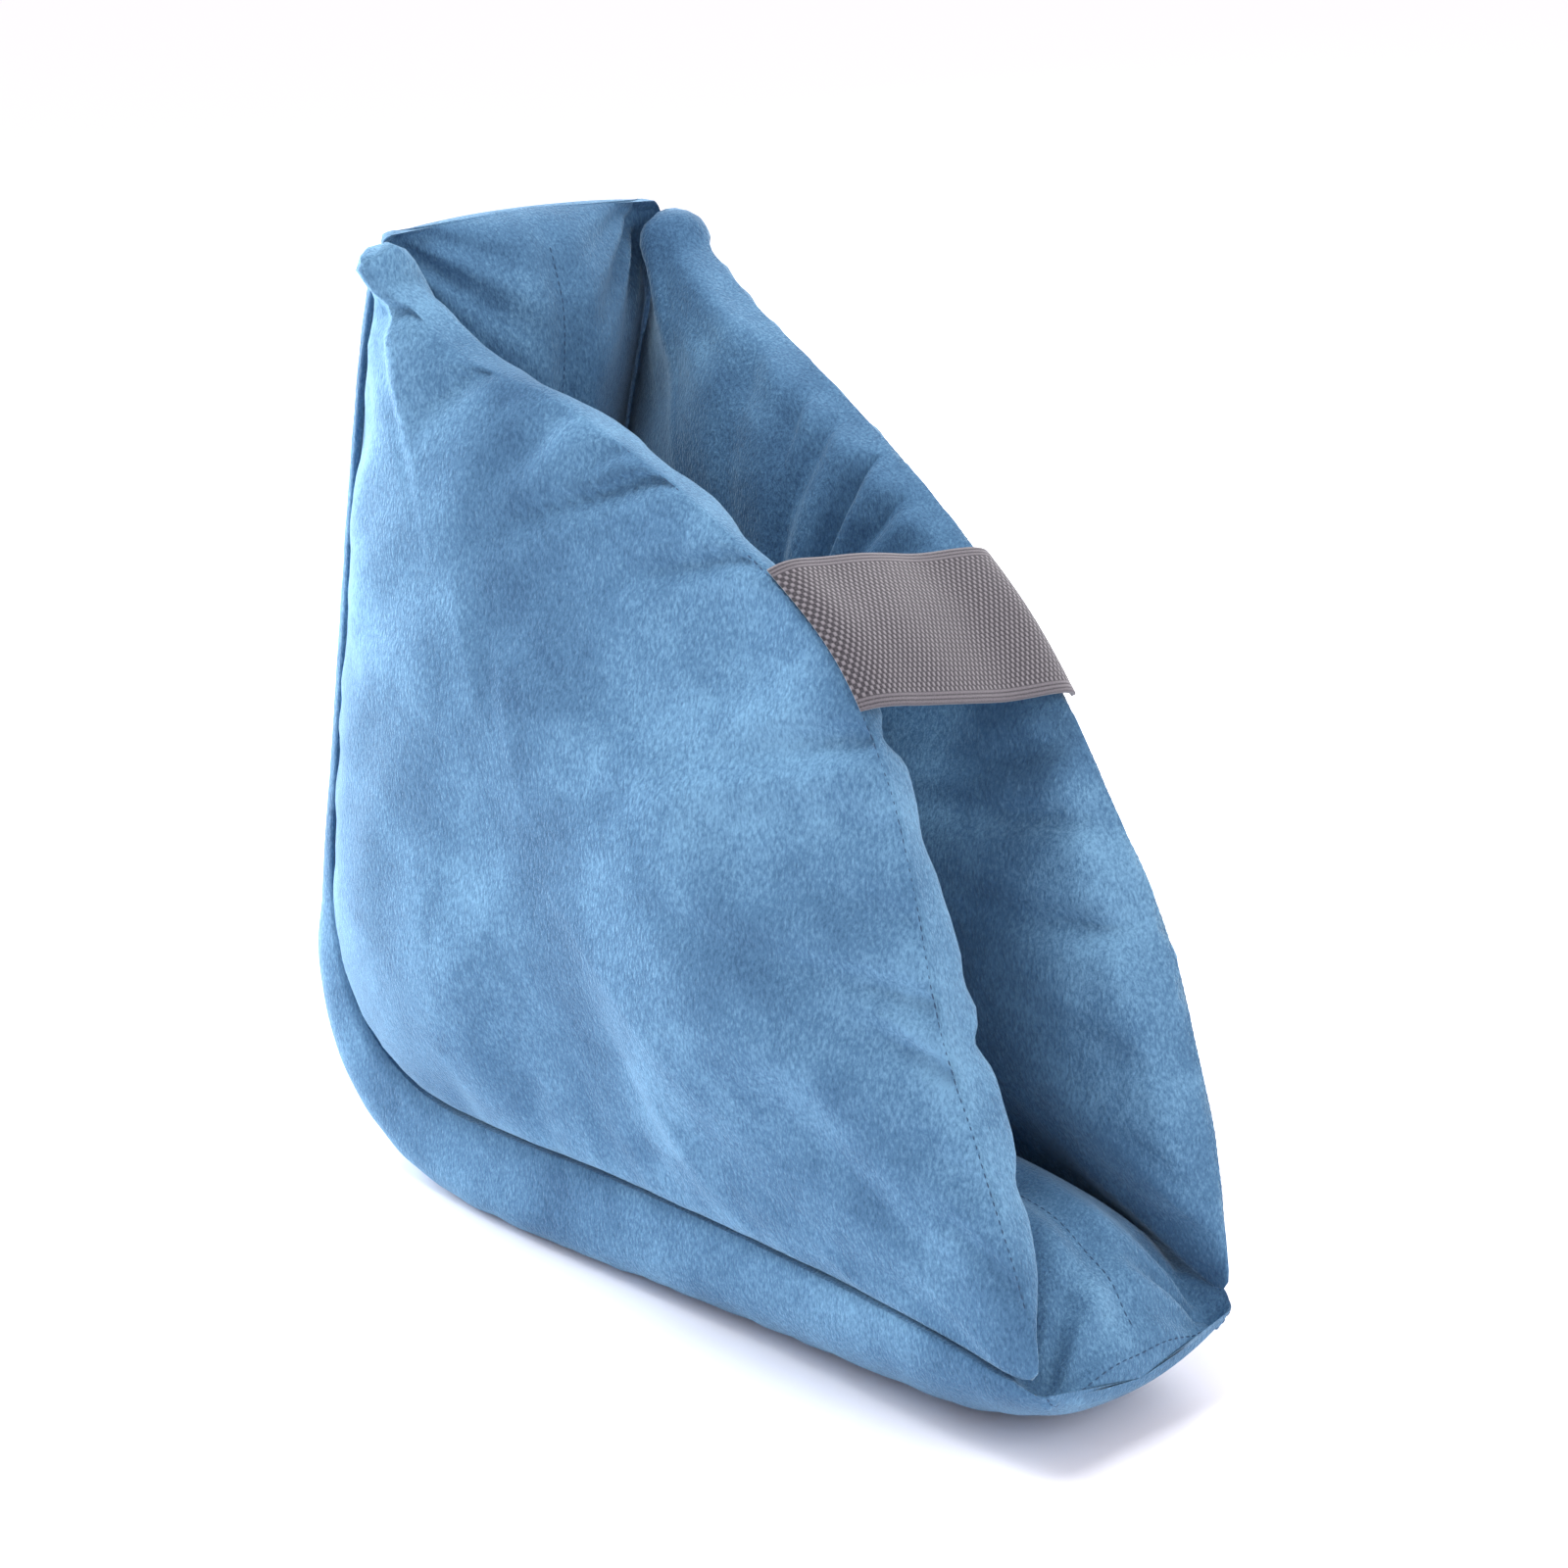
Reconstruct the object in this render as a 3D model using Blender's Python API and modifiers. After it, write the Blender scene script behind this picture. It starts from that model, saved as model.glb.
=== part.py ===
"""Heel protector cushion, modelled in Blender at real size: metres, +Z up.

Two quadrant-shaped side cushions stand on either side of one long sole and
back cushion, which runs under the foot, turns at the heel and climbs behind
the ankle. A wide elastic strap joins the middle of the two curved front edges.
The toe end faces -Y. The origin is on the floor, under the middle of the sole.
"""

import math

import bmesh
import bpy

MM = 0.001

# Driving sizes, in millimetres.
SEAM_MARGIN = 4.0  # the sole's flat sewing margin, under the side cushions
SEAM_INSET = 3.0  # a side cushion's sewn edge stands this far in on the margin
SEAM_GAP = 0.6  # and this far off it
PANEL_CENTRE_Y = 22.0  # the fullest point of a side cushion, seen from the side
PANEL_CENTRE_Z = 142.0
PANEL_CENTRE_X = 53.0  # half the distance between the two panels' seams there
PANEL_OUTER_CROWN = 20.0  # how far the outer face swells past the seams
PANEL_INNER_CROWN = 24.0  # how far the inner face swells into the foot space
OUTER_FULLNESS = 3.4  # the faces' sections: 2 is a parabola, more is fuller
INNER_FULLNESS = 3.0
OUTER_RIDGE = 1.6  # how far the outer face stands out past its seams
HINGE_SWELL = 4.5  # and how far it swells sideways past the sole's seams
RIDGE_SPREAD = 0.09  # the share of a face's reach that the ridges take up
CORNER_FADE = 2.5  # the band starts at the toe over this many degrees
KNOB_LENGTH = 20.0  # and ends in a round knob, this far down the back seam
LEFT_KNOB = (57.0, 107.0, 311.0)  # the knobs in the top corners, x outwards
RIGHT_KNOB = (56.0, 106.0, 304.0)
KNOB_RADIUS = 16.0
KNOB_FLATNESS = 0.78  # how far out the knob's middle moves, as a share of the radius
KNOB_CLEARANCE = 1.6  # and how far off the back seam the knob stays
CORNER_PRESS = 12.0  # the side cushions' corners flatten the sole's this far in
CORNER_PRESS_LENGTH = 34.0
ARC_CENTRE_Y = 130.0  # the front edge is an arc about the heel corner
ARC_CENTRE_Z = 37.0
CORNER_SOFTNESS = 11.0  # how far each side of a corner its outline is rounded
FACE_SOFTNESS = 60.0  # and how far the faces' inner rings are
CHANNEL_DEPTH = 5.0  # the stitched line along the middle of the sole
CHANNEL_REACH = 9.0
INNER_ROUNDING = 50.0  # the foot side rounds down to the end seams over this
TOE_ROUNDING = 42.0  # and the floor side over this
TOP_ROUNDING = 27.0
TOE_SEAM_SAG = 9.0  # the toe's end seam dips by this much in the middle
TOP_SEAM_SAG = 2.0
TOP_RISE = 4.0  # and the top's stands up by this much
TOP_RISE_LENGTH = 40.0
CORNER_TUCK = 9.0  # the end seams' corners are drawn in by this much
CORNER_ROUNDING = 13.0
RIM_POWER = 18  # how sharply a side cushion's faces turn in at its seams
RING_POWER = 1.8  # how its rings crowd towards the seams
CREASE_START = 0.03  # a crease starts at the seam over this share of the reach
CREASE_FADE = 0.16  # and fades inwards over this one
STRAP_CLEARANCE = 1.2  # the strap's middle layer lies this far outside the seams
STRAP_EDGE_POWER = 10  # how late the strap turns down to its seams
STRAP_WIDTH = 50.0
STRAP_THICKNESS = 1.6
STRAP_LEFT_ANGLE = 43.4  # degrees up the left front edge, to the strap's middle
STRAP_RIGHT_ANGLE = 41.8
STRAP_END_X = 45.6  # the strap is sewn into the panels' front seams here
STRAP_LIFT = 4.8  # how far the strap stands off the seams where it crosses
STRAP_SAG = 1.4

# The line where the sole meets the side cushions, from the toe to the top.
# Each row: y, z, half the width between the two lines, the crown towards the
# foot, the crown towards the floor or the back, how far the outer side swells
# past the seam, and how square the outer section is (2 is an ellipse).
SOLE_STATIONS = (
    (-164.0, 27.5, 42.5, 26.0, 27.5, 3.0, 2.0),
    (-120.0, 34.5, 48.0, 30.0, 37.5, 4.0, 2.2),
    (-50.0, 36.5, 51.0, 30.0, 40.0, 5.0, 2.9),
    (20.0, 36.0, 55.0, 30.0, 40.0, 8.0, 3.8),
    (70.0, 33.5, 57.5, 30.0, 37.5, 10.5, 4.4),
    (98.0, 33.5, 58.0, 30.0, 37.0, 10.5, 4.4),
    (118.0, 38.5, 58.5, 30.0, 37.0, 10.5, 4.2),
    (136.0, 50.0, 59.0, 30.0, 36.0, 9.5, 3.6),
    (148.5, 68.0, 59.0, 31.0, 31.5, 6.5, 3.0),
    (153.0, 97.0, 59.0, 32.0, 22.0, 2.0, 2.4),
    (149.0, 138.0, 58.0, 33.0, 18.0, 1.0, 2.3),
    (141.0, 190.0, 57.5, 34.0, 16.0, 0.5, 2.3),
    (132.0, 240.0, 57.5, 35.0, 15.0, 0.5, 2.3),
    (121.0, 285.0, 58.5, 35.0, 15.0, 0.5, 2.3),
    (112.5, 319.0, 57.0, 33.0, 16.0, 0.5, 2.3),
)

# The curved front edges of the side cushions, from the toe up to the top.
# Each row: degrees about the heel corner, the left one's radius, the right
# one's radius, half the width between their seams, the width of the band
# inside the seam, how far the edge swells outside it, how far the band rolls
# out past the seam.
FRONT_EDGES = (
    (0.0, 291.0, 289.0, 41.0, 9.0, 0.0, 3.0),
    (8.0, 281.0, 282.0, 44.0, 15.0, 0.0, 3.6),
    (14.0, 274.0, 277.0, 44.5, 18.0, 0.0, 3.6),
    (21.0, 271.0, 273.5, 44.0, 18.0, 0.0, 3.6),
    (28.0, 274.0, 269.5, 43.5, 16.0, 0.0, 3.6),
    (35.0, 279.5, 267.5, 43.5, 15.0, 0.0, 3.6),
    (41.5, 281.0, 265.5, 44.0, 15.0, 0.0, 3.6),
    (48.5, 275.0, 262.5, 45.0, 15.0, 0.0, 3.4),
    (56.0, 268.0, 260.0, 46.5, 15.0, 0.5, 3.0),
    (63.5, 262.5, 258.5, 48.5, 15.0, 1.0, 3.0),
    (71.0, 259.0, 260.0, 51.0, 15.0, 1.5, 3.6),
    (78.0, 256.0, 264.0, 55.0, 15.0, 2.5, 8.0),
    (86.8, 277.0, 278.0, 64.0, 18.0, 4.0, 14.0),
)

# Creases that run inwards from the front edge.
# Each row: degrees about the heel corner, depth, half-width in degrees.
FRONT_PUCKERS = (
    (11.0, 1.6, 2.6),
    (21.5, 2.2, 2.8),
    (29.0, 1.2, 2.4),
    (37.4, 1.8, 1.9),
    (50.5, 1.6, 2.2),
    (58.5, 2.0, 2.4),
    (66.0, 1.4, 2.2),
)

AROUND_PANEL = 88
RINGS_PER_FACE = 9
AROUND_SOLE = 40
ALONG_SOLE = 48
END_RINGS = 0.12  # how much closer the sole's rings lie near its two ends
STRAP_STEPS_ACROSS = 30
STRAP_STEPS_ALONG = 6

BLUE = (0.105, 0.285, 0.49, 1.0)
GREY = (0.125, 0.115, 0.12, 1.0)


def smooth_through(rows, places, at):
    """A smooth curve through the rows' values: rows[k] belongs to places[k]."""
    last = len(rows) - 1
    k = 0
    while k < last - 1 and at > places[k + 1]:
        k += 1
    span = places[k + 1] - places[k]
    t = min(1.0, max(0.0, (at - places[k]) / span))
    before, after = max(0, k - 1), min(last, k + 2)
    values = []
    for column in range(len(rows[0])):
        start, end = rows[k][column], rows[k + 1][column]
        slope_in = (end - rows[before][column]) / (places[k + 1] - places[before])
        slope_out = (rows[after][column] - start) / (places[after] - places[k])
        values.append(
            start * (2 * t**3 - 3 * t**2 + 1)
            + end * (3 * t**2 - 2 * t**3)
            + slope_in * span * (t**3 - 2 * t**2 + t)
            + slope_out * span * (t**3 - t**2)
        )
    return values


def running_lengths(points):
    """The distance along a line of points, at each of them."""
    lengths = [0.0]
    for before, after in zip(points, points[1:]):
        lengths.append(lengths[-1] + math.dist(before, after))
    return lengths


SOLE_PLACES = running_lengths([row[:2] for row in SOLE_STATIONS])
SOLE_LENGTH = SOLE_PLACES[-1]
FRONT_PLACES = [row[0] for row in FRONT_EDGES]
FRONT_TURN = FRONT_PLACES[-1]


def sole_line(at):
    """The sole's seam line at a distance from the toe, and the way it faces."""
    row = smooth_through(SOLE_STATIONS, SOLE_PLACES, at)
    step = 0.5
    ahead = smooth_through(SOLE_STATIONS, SOLE_PLACES, min(SOLE_LENGTH, at + step))
    behind = smooth_through(SOLE_STATIONS, SOLE_PLACES, max(0.0, at - step))
    along_y, along_z = ahead[0] - behind[0], ahead[1] - behind[1]
    length = math.hypot(along_y, along_z)
    return row, (-along_z / length, along_y / length)


def front_edge(degrees, side):
    """A front edge's seam: y, z, half-width, band, swell, roll, radius.

    side is -1 for the left one and 1 for the right.
    """
    row = smooth_through(FRONT_EDGES, FRONT_PLACES, degrees)
    _, left, right, half_width, band, swell, roll = row
    radius = left + (right - left) * (side + 1) / 2
    turn = math.radians(degrees)
    y = ARC_CENTRE_Y - radius * math.cos(turn)
    z = ARC_CENTRE_Z + radius * math.sin(turn)
    return y, z, half_width, band, swell, roll, radius


def pucker(degrees):
    """How deep the creases cut at a place on the front edge, from 0 up."""
    depth = 0.0
    for place, deepest, spread in FRONT_PUCKERS:
        depth += deepest * math.exp(-(((degrees - place) / spread) ** 2))
    return depth


def evenly(points, count):
    """count points at even steps round a closed loop, measured in y and z."""
    loop = points + points[:1]
    lengths = running_lengths([point[:2] for point in loop])
    picked = []
    k = 0
    for i in range(count):
        target = lengths[-1] * i / count
        while lengths[k + 1] < target:
            k += 1
        t = (target - lengths[k]) / (lengths[k + 1] - lengths[k])
        picked.append([a + (b - a) * t for a, b in zip(loop[k], loop[k + 1])])
    return picked, lengths[-1]


def softened(points, spacing, reach):
    """A closed loop of points, averaged over this reach on either side."""
    span = round(reach / spacing)
    soft = []
    for k in range(len(points)):
        near = [points[(k + step) % len(points)] for step in range(-span, span + 1)]
        soft.append([sum(column) / len(near) for column in zip(*near)])
    return soft


def panel_outline(side):
    """The sewn edge of a side cushion as evenly spaced points, and a softer copy.

    Each point is (y, z, half-width, the band inside the seam, the swell
    outside it, the roll past it, the crease depth).
    """
    rough = []
    steps = 400
    for k in range(steps):
        degrees = FRONT_TURN * k / steps
        y, z, half_width, band, swell, roll, _ = front_edge(degrees, side)
        front = min(1.0, degrees / CORNER_FADE)
        rough.append([y, z, half_width, band * front, swell, roll * front, pucker(degrees)])
    for k in range(steps):
        (y, z, half_width, *_), facing = sole_line(SOLE_LENGTH * (1 - k / steps))
        inset_y = y + SEAM_GAP * facing[0]
        inset_z = z + SEAM_GAP * facing[1]
        front = max(0.0, 1 - SOLE_LENGTH * k / steps / KNOB_LENGTH)
        band, swell, roll = (size * front for size in FRONT_EDGES[-1][-3:])
        swell += HINGE_SWELL * (1 - front)
        edge_x = half_width - SEAM_INSET
        rough.append([inset_y, inset_z, edge_x, band, swell, roll, 0.0])
    fine, length = evenly(rough, 2 * steps)
    edge = evenly(softened(fine, length / len(fine), CORNER_SOFTNESS), AROUND_PANEL)[0]
    return edge, softened(edge, length / len(edge), FACE_SOFTNESS)


def remade_sphere(name, around, along, place, colour, roughness):
    """A UV sphere whose points are moved by place(turn 0..1, rise -1..1)."""
    mesh = bpy.data.meshes.new(name)
    shape = bmesh.new()
    bmesh.ops.create_uvsphere(shape, u_segments=around, v_segments=along, radius=1.0)
    for vertex in shape.verts:
        turn = math.atan2(vertex.co.y, vertex.co.x) / math.tau
        turn = round(turn * around) % around / around
        rise = math.asin(max(-1.0, min(1.0, vertex.co.z))) / (math.pi / 2)
        rise = round(rise * along / 2) / (along / 2)
        x, y, z = place(turn, rise)
        vertex.co = (x * MM, y * MM, z * MM)
    if shape.calc_volume(signed=True) < 0:
        bmesh.ops.reverse_faces(shape, faces=shape.faces)
    shape.to_mesh(mesh)
    shape.free()
    mesh.shade_smooth()
    return add_object(name, mesh, colour, roughness)


def add_object(name, mesh, colour, roughness):
    """Puts a mesh in the part's collection with its own material."""
    thing = bpy.data.objects.new(name, mesh)
    PART.objects.link(thing)
    material = bpy.data.materials.new(name)
    material.use_nodes = True
    shader = material.node_tree.nodes["Principled BSDF"]
    shader.inputs["Base Color"].default_value = colour
    shader.inputs["Roughness"].default_value = roughness
    shader.inputs["Metallic"].default_value = 0.0
    mesh.materials.append(material)
    return thing


def knobbed(x, y, z, knob):
    """Moves a point inside a top corner's knob out to its surface.

    The knob stays in front of the back seam.
    """
    away = [value - middle for value, middle in zip((x, y, z), knob)]
    share = math.hypot(*away) / KNOB_RADIUS
    if share >= 1:
        return x, y, z
    growth = (KNOB_FLATNESS + (1 - KNOB_FLATNESS) * share**2) / share
    x, y, z = (middle + value * growth for value, middle in zip(away, knob))
    top_y, top_z = SOLE_STATIONS[-1][:2]
    facing = sole_line(SOLE_LENGTH - KNOB_RADIUS)[1]
    behind = KNOB_CLEARANCE - (y - top_y) * facing[0] - (z - top_z) * facing[1]
    behind = max(0.0, behind)
    return x, y + behind * facing[0], z + behind * facing[1]


def make_side_cushion(name, side):
    """One quadrant cushion: side is -1 for the left one and 1 for the right."""
    outline, soft_outline = panel_outline(side)

    def place(turn, rise):
        k = round(turn * AROUND_PANEL) % AROUND_PANEL
        reach = 1 - abs(rise) ** RING_POWER
        keep = reach**4
        point = [a * keep + b * (1 - keep) for a, b in zip(outline[k], soft_outline[k])]
        edge_y, edge_z, half_width, band, swell, roll, crease = point
        y = PANEL_CENTRE_Y + (edge_y - PANEL_CENTRE_Y) * reach
        z = PANEL_CENTRE_Z + (edge_z - PANEL_CENTRE_Z) * reach
        x = PANEL_CENTRE_X + (half_width - PANEL_CENTRE_X) * reach**1.5
        from_edge = 1 - reach
        crease *= math.exp(-from_edge / CREASE_FADE) * min(1.0, from_edge / CREASE_START)
        turned_in = reach**2 * math.sqrt(1 - reach**RIM_POWER)
        if rise > 0:
            x += PANEL_OUTER_CROWN * (1 - reach**OUTER_FULLNESS) + swell * turned_in - crease
        else:
            x -= PANEL_INNER_CROWN * (1 - reach**INNER_FULLNESS) + band * turned_in - crease
        ridge = OUTER_RIDGE if rise > 0 else roll
        ridge *= math.sin(math.pi * min(1.0, from_edge / RIDGE_SPREAD))
        length = math.hypot(edge_y - PANEL_CENTRE_Y, edge_z - PANEL_CENTRE_Z)
        y += ridge * (edge_y - PANEL_CENTRE_Y) / length
        z += ridge * (edge_z - PANEL_CENTRE_Z) / length
        x, y, z = knobbed(x, y, z, LEFT_KNOB if side < 0 else RIGHT_KNOB)
        return side * x, y, z

    remade_sphere(name, AROUND_PANEL, 2 * RINGS_PER_FACE, place, BLUE, 0.85)


def rounding(distance, reach):
    """How full the sole is at a distance from its end seam, 0 to 1."""
    missing = 1 - min(1.0, max(0.0, distance / reach))
    return math.sqrt(1 - missing**2)


def make_sole_and_back_cushion(name):
    """The long cushion under the foot, round the heel and behind the ankle."""

    def place(turn, rise):
        at = SOLE_LENGTH * (1 + rise - END_RINGS * math.sin(math.tau * rise)) / 2
        (y, z, half_width, inner, outer, swell, boxiness), facing = sole_line(at)
        to_toe, to_top = at, SOLE_LENGTH - at
        full_inner = rounding(to_toe, INNER_ROUNDING) * rounding(to_top, INNER_ROUNDING)
        full_outer = rounding(to_toe, TOE_ROUNDING) * rounding(to_top, TOP_ROUNDING)
        nearest = min(to_toe, to_top)
        half_width -= CORNER_TUCK * (1 - rounding(nearest, CORNER_ROUNDING))
        sag = TOE_SEAM_SAG if to_toe < to_top else TOP_SEAM_SAG
        angle = math.tau * turn
        level, tilt = math.cos(angle), abs(math.sin(angle))
        if abs(rise) == 1:
            across, height = 0.0, 0.0
        elif turn <= 0.5:
            across = -half_width * level
            pressed = max(0.0, 1 - nearest / CORNER_PRESS_LENGTH)
            margin = SEAM_MARGIN + CORNER_PRESS * pressed
            from_middle = min(1.0, abs(across) / (half_width - margin))
            height = inner * full_inner * (1 - from_middle**1.5)
            height -= CHANNEL_DEPTH * full_inner * math.exp(-((across / CHANNEL_REACH) ** 2))
        else:
            squared = abs(level) ** (2 / boxiness)
            across = -(half_width + swell * tilt * full_outer) * math.copysign(squared, level)
            height = -outer * full_outer * tilt ** (2 / boxiness)
        to_middle = 1 - min(1.0, abs(across) / half_width) ** 2
        height -= sag * (1 - full_outer) * to_middle
        z += TOP_RISE * to_middle * max(0.0, 1 - to_top / TOP_RISE_LENGTH) ** 2
        return across, y + height * facing[0], max(0.0, z + height * facing[1])

    remade_sphere(name, AROUND_SOLE, ALONG_SOLE, place, BLUE, 0.85)


def make_strap(name):
    """The flat elastic strap between the two front edges."""
    mesh = bpy.data.meshes.new(name)
    shape = bmesh.new()
    bmesh.ops.create_grid(
        shape, x_segments=STRAP_STEPS_ACROSS, y_segments=STRAP_STEPS_ALONG, size=1.0
    )
    for vertex in shape.verts:
        across, along = vertex.co.x, vertex.co.y
        share = (1 + across) / 2
        middle = STRAP_LEFT_ANGLE + (STRAP_RIGHT_ANGLE - STRAP_LEFT_ANGLE) * share
        radius = front_edge(middle, across)[-1]
        degrees = middle + math.degrees(along * STRAP_WIDTH / 2 / radius)
        radius = front_edge(degrees, across)[-1]
        turn = math.radians(degrees)
        radius += STRAP_CLEARANCE + STRAP_LIFT * (1 - abs(across) ** STRAP_EDGE_POWER)
        radius -= STRAP_SAG * math.cos(across * math.pi / 2) ** 2
        x = STRAP_END_X * across
        y = ARC_CENTRE_Y - radius * math.cos(turn)
        z = ARC_CENTRE_Z + radius * math.sin(turn)
        vertex.co = (x * MM, y * MM, z * MM)
    shape.to_mesh(mesh)
    shape.free()
    mesh.shade_smooth()
    strap = add_object(name, mesh, GREY, 0.8)
    solidify = strap.modifiers.new("thickness", "SOLIDIFY")
    solidify.thickness = STRAP_THICKNESS * MM
    solidify.offset = 0.0


for old in list(bpy.data.objects):
    bpy.data.objects.remove(old)
PART = bpy.data.collections.new("heel_protector_cushion")
bpy.context.scene.collection.children.link(PART)

make_side_cushion("left_side_cushion", -1)
make_side_cushion("right_side_cushion", 1)
make_sole_and_back_cushion("sole_and_back_cushion")
make_strap("elastic_strap")
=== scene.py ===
"""Heel protector cushion in short-pile plush, dressed for a studio picture.

Two stuffed side cushions, the long sole and back cushion between them, and the
wide elastic strap across the front. Metres, +Z up, the toe end towards -Y.
"""

import logging
import math
from collections.abc import Callable, Sequence
from dataclasses import dataclass
from enum import Enum
from functools import partial

import bmesh
import bpy
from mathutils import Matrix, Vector, noise
from mathutils.kdtree import KDTree


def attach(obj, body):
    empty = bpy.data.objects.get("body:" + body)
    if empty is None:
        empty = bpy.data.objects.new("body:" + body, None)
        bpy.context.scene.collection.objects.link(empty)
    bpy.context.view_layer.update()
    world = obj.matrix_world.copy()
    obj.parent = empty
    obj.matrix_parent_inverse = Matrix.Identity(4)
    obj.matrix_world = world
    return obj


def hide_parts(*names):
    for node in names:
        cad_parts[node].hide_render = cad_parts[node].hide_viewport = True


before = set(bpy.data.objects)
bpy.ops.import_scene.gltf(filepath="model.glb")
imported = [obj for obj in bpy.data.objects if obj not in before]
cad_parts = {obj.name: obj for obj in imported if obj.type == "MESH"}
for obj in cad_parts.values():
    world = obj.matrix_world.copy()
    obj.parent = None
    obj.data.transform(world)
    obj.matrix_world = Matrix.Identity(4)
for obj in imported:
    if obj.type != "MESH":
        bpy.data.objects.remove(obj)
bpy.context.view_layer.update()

MM = 0.001
OUTLINE_STEPS = 400
TANGENT_STEP = 0.5
CREASE_START = 4.0
CREASE_RADIUS = 270.0
LOG = logging.getLogger("heel_protector_cushion")

Row = Sequence[float]
Point = tuple[float, float, float]

# The line where the sole meets the side cushions, from the toe to the top, mm.
# Each row: y, z, half the width between the two lines, the crown towards the
# foot, the crown towards the floor or the back, how far the outer side swells
# past the seam, and how square the outer section is (2 is an ellipse).
SOLE_STATIONS: tuple[Row, ...] = (
    (-164.0, 27.5, 42.5, 26.0, 27.5, 3.0, 2.0),
    (-120.0, 34.5, 48.0, 30.0, 37.5, 4.0, 2.2),
    (-50.0, 36.5, 51.0, 30.0, 40.0, 5.0, 2.9),
    (20.0, 36.0, 55.0, 30.0, 40.0, 8.0, 3.8),
    (70.0, 33.5, 57.5, 30.0, 37.5, 10.5, 4.4),
    (98.0, 33.5, 58.0, 30.0, 37.0, 10.5, 4.4),
    (118.0, 38.5, 58.5, 30.0, 37.0, 10.5, 4.2),
    (136.0, 50.0, 59.0, 30.0, 36.0, 9.5, 3.6),
    (148.5, 68.0, 59.0, 31.0, 31.5, 6.5, 3.0),
    (153.0, 97.0, 59.0, 32.0, 22.0, 2.0, 2.4),
    (149.0, 138.0, 58.0, 33.0, 18.0, 1.0, 2.3),
    (141.0, 190.0, 57.5, 34.0, 16.0, 0.5, 2.3),
    (132.0, 240.0, 57.5, 35.0, 15.0, 0.5, 2.3),
    (121.0, 285.0, 58.5, 35.0, 15.0, 0.5, 2.3),
    (112.5, 319.0, 57.0, 33.0, 16.0, 0.5, 2.3),
)

# The curved front edges, from the toe up to the top, mm.
# Each row: degrees about the heel corner, the left one's radius, the right
# one's radius, half the width between their seams, the width of the band
# inside the seam, how far the edge swells outside it, how far the band rolls
# out past the seam.
FRONT_EDGES: tuple[Row, ...] = (
    (0.0, 291.0, 289.0, 41.0, 11.0, 0.0, 3.0),
    (8.0, 281.0, 282.0, 44.0, 19.0, 0.0, 3.6),
    (14.0, 274.0, 277.0, 45.0, 22.5, 0.0, 3.6),
    (21.0, 271.0, 273.5, 46.0, 23.5, 0.0, 3.6),
    (28.0, 274.0, 269.5, 44.0, 18.0, 0.0, 3.6),
    (35.0, 279.5, 267.5, 43.5, 15.0, 0.0, 3.6),
    (41.5, 281.0, 265.5, 44.0, 15.0, 0.0, 3.6),
    (48.5, 275.0, 262.5, 45.0, 15.0, 0.0, 3.4),
    (56.0, 268.0, 260.0, 46.5, 15.0, 0.5, 3.0),
    (63.5, 262.5, 258.5, 48.5, 15.0, 1.0, 3.0),
    (71.0, 259.0, 260.0, 51.0, 15.0, 1.5, 3.6),
    (78.0, 256.0, 264.0, 55.0, 15.0, 2.5, 5.0),
    (86.8, 277.0, 278.0, 64.0, 18.0, 4.0, 3.5),
)

# Creases that run inwards from the seams of the side cushions.
# Each row: degrees up the front edge, depth in mm, half-width in mm, length in
# mm, lean in mm of shift along the seam for each mm inwards.
OUTER_CREASES: tuple[Row, ...] = (
    (3.5, 2.6, 4.0, 20.0, 0.6), (9.5, 2.6, 4.5, 24.0, 0.3),
    (16.5, 4.0, 4.0, 34.0, 0.35), (20.8, 4.6, 4.5, 46.0, 0.1),
    (25.5, 2.8, 4.0, 20.0, 0.4), (31.0, 1.8, 5.0, 24.0, 0.2),
    (36.6, 6.0, 3.8, 24.0, 0.3), (49.2, 4.4, 3.6, 28.0, 1.4),
    (57.5, 6.4, 4.0, 42.0, 1.6), (61.5, 3.0, 4.0, 30.0, 1.2),
    (67.0, 2.6, 5.0, 34.0, 0.9), (74.5, 4.0, 4.5, 38.0, 1.3),
    (81.5, 7.0, 4.2, 40.0, 1.6),
)
NEAR_INNER_CREASES: tuple[Row, ...] = (
    (9.0, 2.6, 5.0, 22.0, 0.0), (17.2, 5.0, 4.6, 24.0, 0.1),
    (21.0, 1.6, 6.0, 24.0, 0.0), (30.0, 0.9, 7.0, 24.0, 0.0),
    (36.6, 4.0, 4.2, 22.0, 0.1), (52.0, 0.9, 8.0, 30.0, 0.2),
    (61.0, 1.1, 9.0, 30.0, 0.2), (70.0, 1.0, 8.0, 30.0, 0.2),
)
FAR_INNER_CREASES: tuple[Row, ...] = (
    (1.5, 2.6, 3.0, 14.0, 0.2), (5.0, 3.4, 3.4, 18.0, 0.2),
    (12.5, 2.0, 4.5, 22.0, 0.0), (21.6, 6.0, 3.8, 32.0, -0.1),
    (28.6, 5.0, 3.6, 26.0, 0.2), (34.0, 2.4, 4.0, 22.0, 0.0),
    (50.5, 2.0, 4.6, 34.0, 0.1), (54.0, 5.4, 3.4, 50.0, 0.2),
    (58.2, 6.6, 3.2, 68.0, 0.0), (62.4, 4.6, 4.4, 74.0, 0.15),
    (66.0, 3.4, 3.4, 40.0, -0.1), (71.5, 2.4, 5.5, 50.0, 0.2),
)

# Folds of the sole and back cushion that fan out from the ends' corners.
# Each row: the angle from the end seam in degrees, depth and half-width in mm.
CORNER_FOLDS: tuple[Row, ...] = ((13.0, 5.0, 2.4), (32.0, 7.5, 2.8), (54.0, 5.5, 3.4))


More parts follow.
